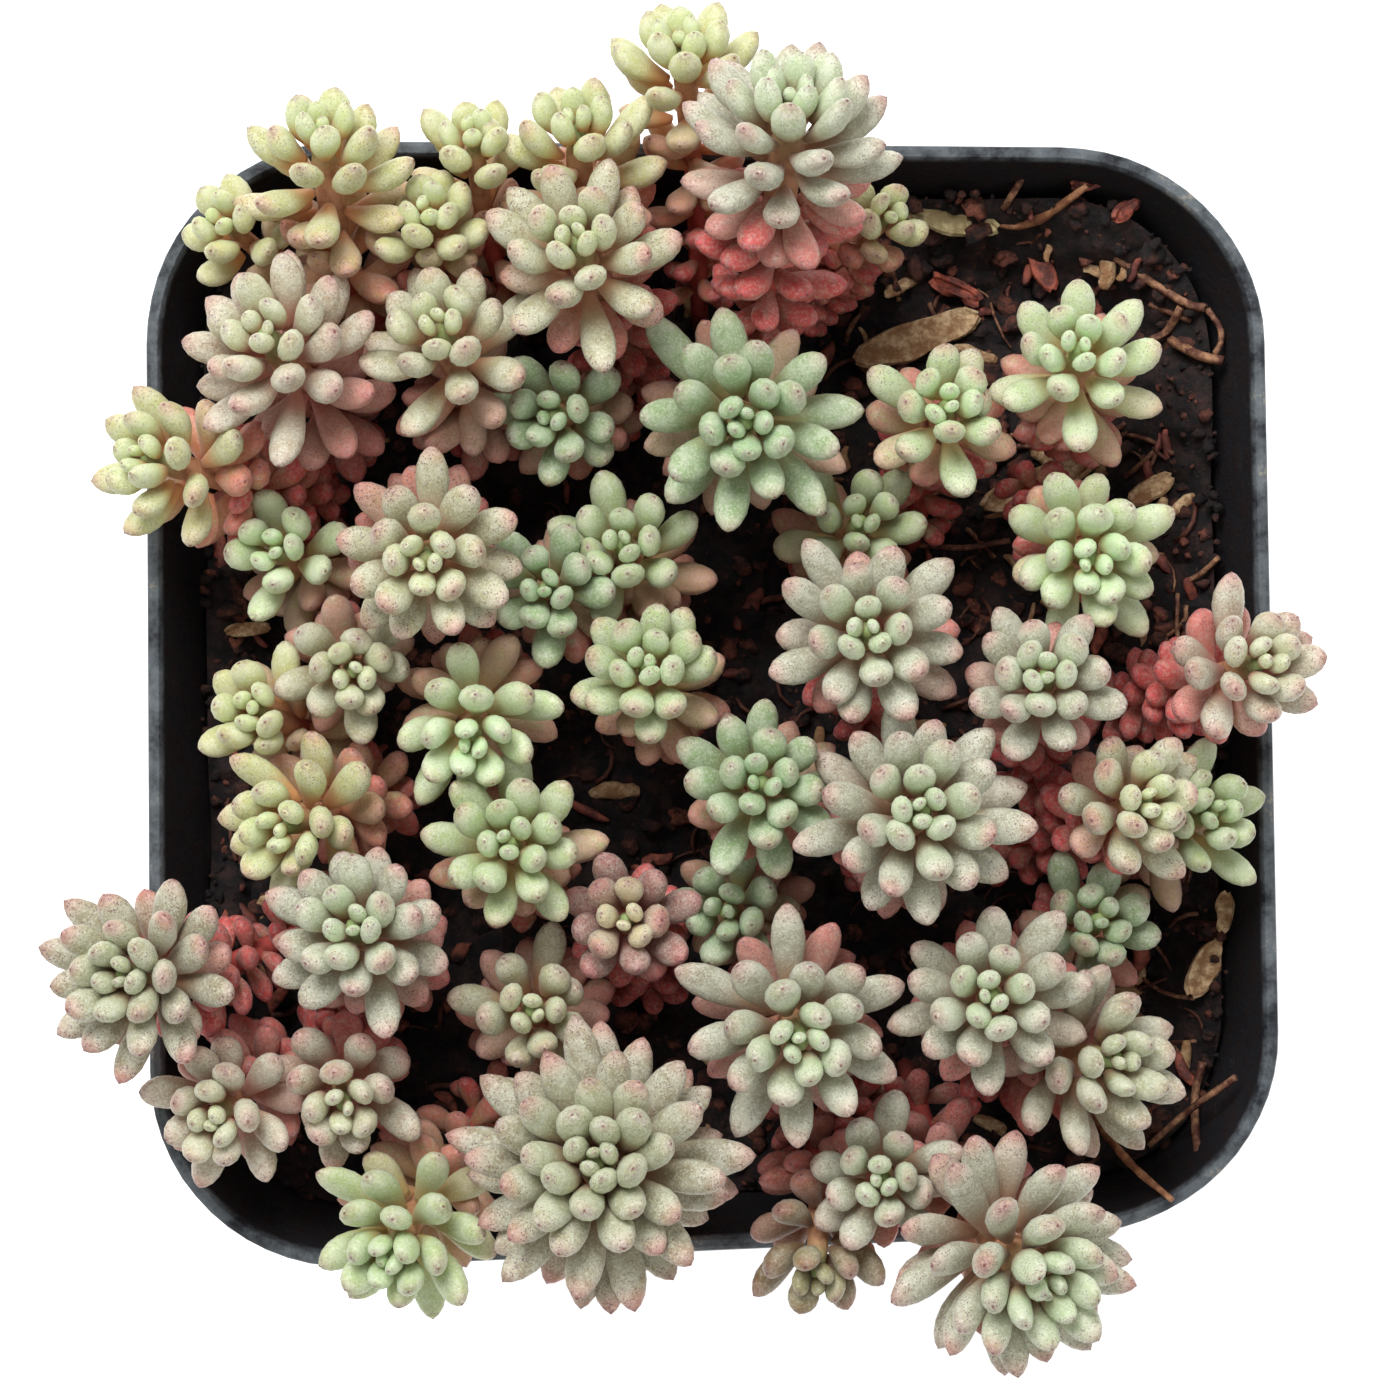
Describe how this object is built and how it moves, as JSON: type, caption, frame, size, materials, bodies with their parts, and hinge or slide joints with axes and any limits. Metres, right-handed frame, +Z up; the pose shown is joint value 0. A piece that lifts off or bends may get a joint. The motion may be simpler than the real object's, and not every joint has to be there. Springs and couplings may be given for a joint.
{
  "type": "potted succulent",
  "caption": "Square black nursery pot of peat, filled with a low clump of leafy sedum stems whose plump leaves form rosettes, some leaning over the rim.",
  "frame": {"origin": "middle of the underside of the pot's foot", "axes": "+Z up, along the pot's height; +Y to the pot's side that is at the top of the picture, +X to the side at its right"},
  "size_m": [0.0944, 0.1007, 0.1021],
  "materials": {
    "pot": "black, scuffed paler at the rim",
    "soil": "damp near-black peat",
    "twig": "dry brown",
    "root_fibre": "dry red-brown",
    "bark_chip": "dry olive-beige",
    "dead_leaf": "dry beige",
    "rosette_01": "yellow-green, waxy",
    "rosette_02": "yellow-green, waxy",
    "rosette_03": "yellow-green, waxy",
    "rosette_04": "grey-green with a pale waxy bloom and pink tips",
    "rosette_05": "beige-green with a pink flush",
    "rosette_06": "yellow-green, waxy",
    "rosette_07": "yellow-green, waxy",
    "rosette_08": "fresh green, waxy",
    "rosette_09": "beige-green with a pink flush",
    "rosette_10": "blue-green, waxy",
    "rosette_11": "yellow-green, waxy",
    "rosette_12": "blue-green, waxy",
    "rosette_13": "fresh green, waxy",
    "rosette_14": "beige-pink with a green centre",
    "rosette_15": "fresh green, waxy",
    "rosette_16": "beige-green with a pink flush",
    "rosette_17": "yellow-green, waxy",
    "rosette_18": "beige-green with a pink flush",
    "rosette_19": "blue-green, waxy",
    "rosette_20": "yellow-green, waxy",
    "rosette_21": "beige-green with a pink flush",
    "rosette_22": "grey-green with a pale waxy bloom and pink tips",
    "rosette_23": "beige-green with a pink flush",
    "rosette_24": "beige-pink with a green centre",
    "rosette_25": "beige-pink with a green centre",
    "rosette_26": "beige-pink with a green centre",
    "rosette_27": "fresh green, waxy",
    "rosette_28": "blue-green, waxy",
    "rosette_29": "fresh green, waxy",
    "rosette_30": "beige-green with a pink flush",
    "rosette_31": "grey-green with a pale waxy bloom and pink tips",
    "rosette_32": "fresh green, waxy",
    "rosette_33": "fresh green, waxy",
    "rosette_34": "grey-green with a pale waxy bloom and pink tips",
    "rosette_35": "fresh green, waxy",
    "rosette_36": "mauve-pink with a cream centre",
    "rosette_37": "fresh green, waxy",
    "rosette_38": "fresh green, waxy",
    "rosette_39": "grey-green with a pale waxy bloom and pink tips",
    "rosette_40": "beige-pink with a green centre",
    "rosette_41": "beige-pink with a green centre",
    "rosette_42": "fresh green, waxy",
    "rosette_43": "fresh green, waxy",
    "rosette_44": "grey-green with a pale waxy bloom and pink tips",
    "rosette_45": "fresh green, waxy",
    "rosette_46": "beige-green with a pink flush",
    "rosette_47": "beige-green with a pink flush",
    "rosette_48": "grey-green with a pale waxy bloom and pink tips",
    "rosette_49": "grey-green with a pale waxy bloom and pink tips",
    "rosette_50": "grey-green with a pale waxy bloom and pink tips",
    "rosette_51": "yellow-green, waxy"
  },
  "bodies": {
    "root": {"pot": "pot", "soil": "soil", "twig": "twig", "root_fibre": "root_fibre", "bark_chip": "bark_chip", "dead_leaf": "dead_leaf", "rosette_01": "rosette_01", "rosette_02": "rosette_02", "rosette_03": "rosette_03", "rosette_04": "rosette_04", "rosette_05": "rosette_05", "rosette_06": "rosette_06", "rosette_07": "rosette_07", "rosette_08": "rosette_08", "rosette_09": "rosette_09", "rosette_10": "rosette_10", "rosette_11": "rosette_11", "rosette_12": "rosette_12", "rosette_13": "rosette_13", "rosette_14": "rosette_14", "rosette_15": "rosette_15", "rosette_16": "rosette_16", "rosette_17": "rosette_17", "rosette_18": "rosette_18", "rosette_19": "rosette_19", "rosette_20": "rosette_20", "rosette_21": "rosette_21", "rosette_22": "rosette_22", "rosette_23": "rosette_23", "rosette_24": "rosette_24", "rosette_25": "rosette_25", "rosette_26": "rosette_26", "rosette_27": "rosette_27", "rosette_28": "rosette_28", "rosette_29": "rosette_29", "rosette_30": "rosette_30", "rosette_31": "rosette_31", "rosette_32": "rosette_32", "rosette_33": "rosette_33", "rosette_34": "rosette_34", "rosette_35": "rosette_35", "rosette_36": "rosette_36", "rosette_37": "rosette_37", "rosette_38": "rosette_38", "rosette_39": "rosette_39", "rosette_40": "rosette_40", "rosette_41": "rosette_41", "rosette_42": "rosette_42", "rosette_43": "rosette_43", "rosette_44": "rosette_44", "rosette_45": "rosette_45", "rosette_46": "rosette_46", "rosette_47": "rosette_47", "rosette_48": "rosette_48", "rosette_49": "rosette_49", "rosette_50": "rosette_50", "rosette_51": "rosette_51"}
  },
  "joints": []
}
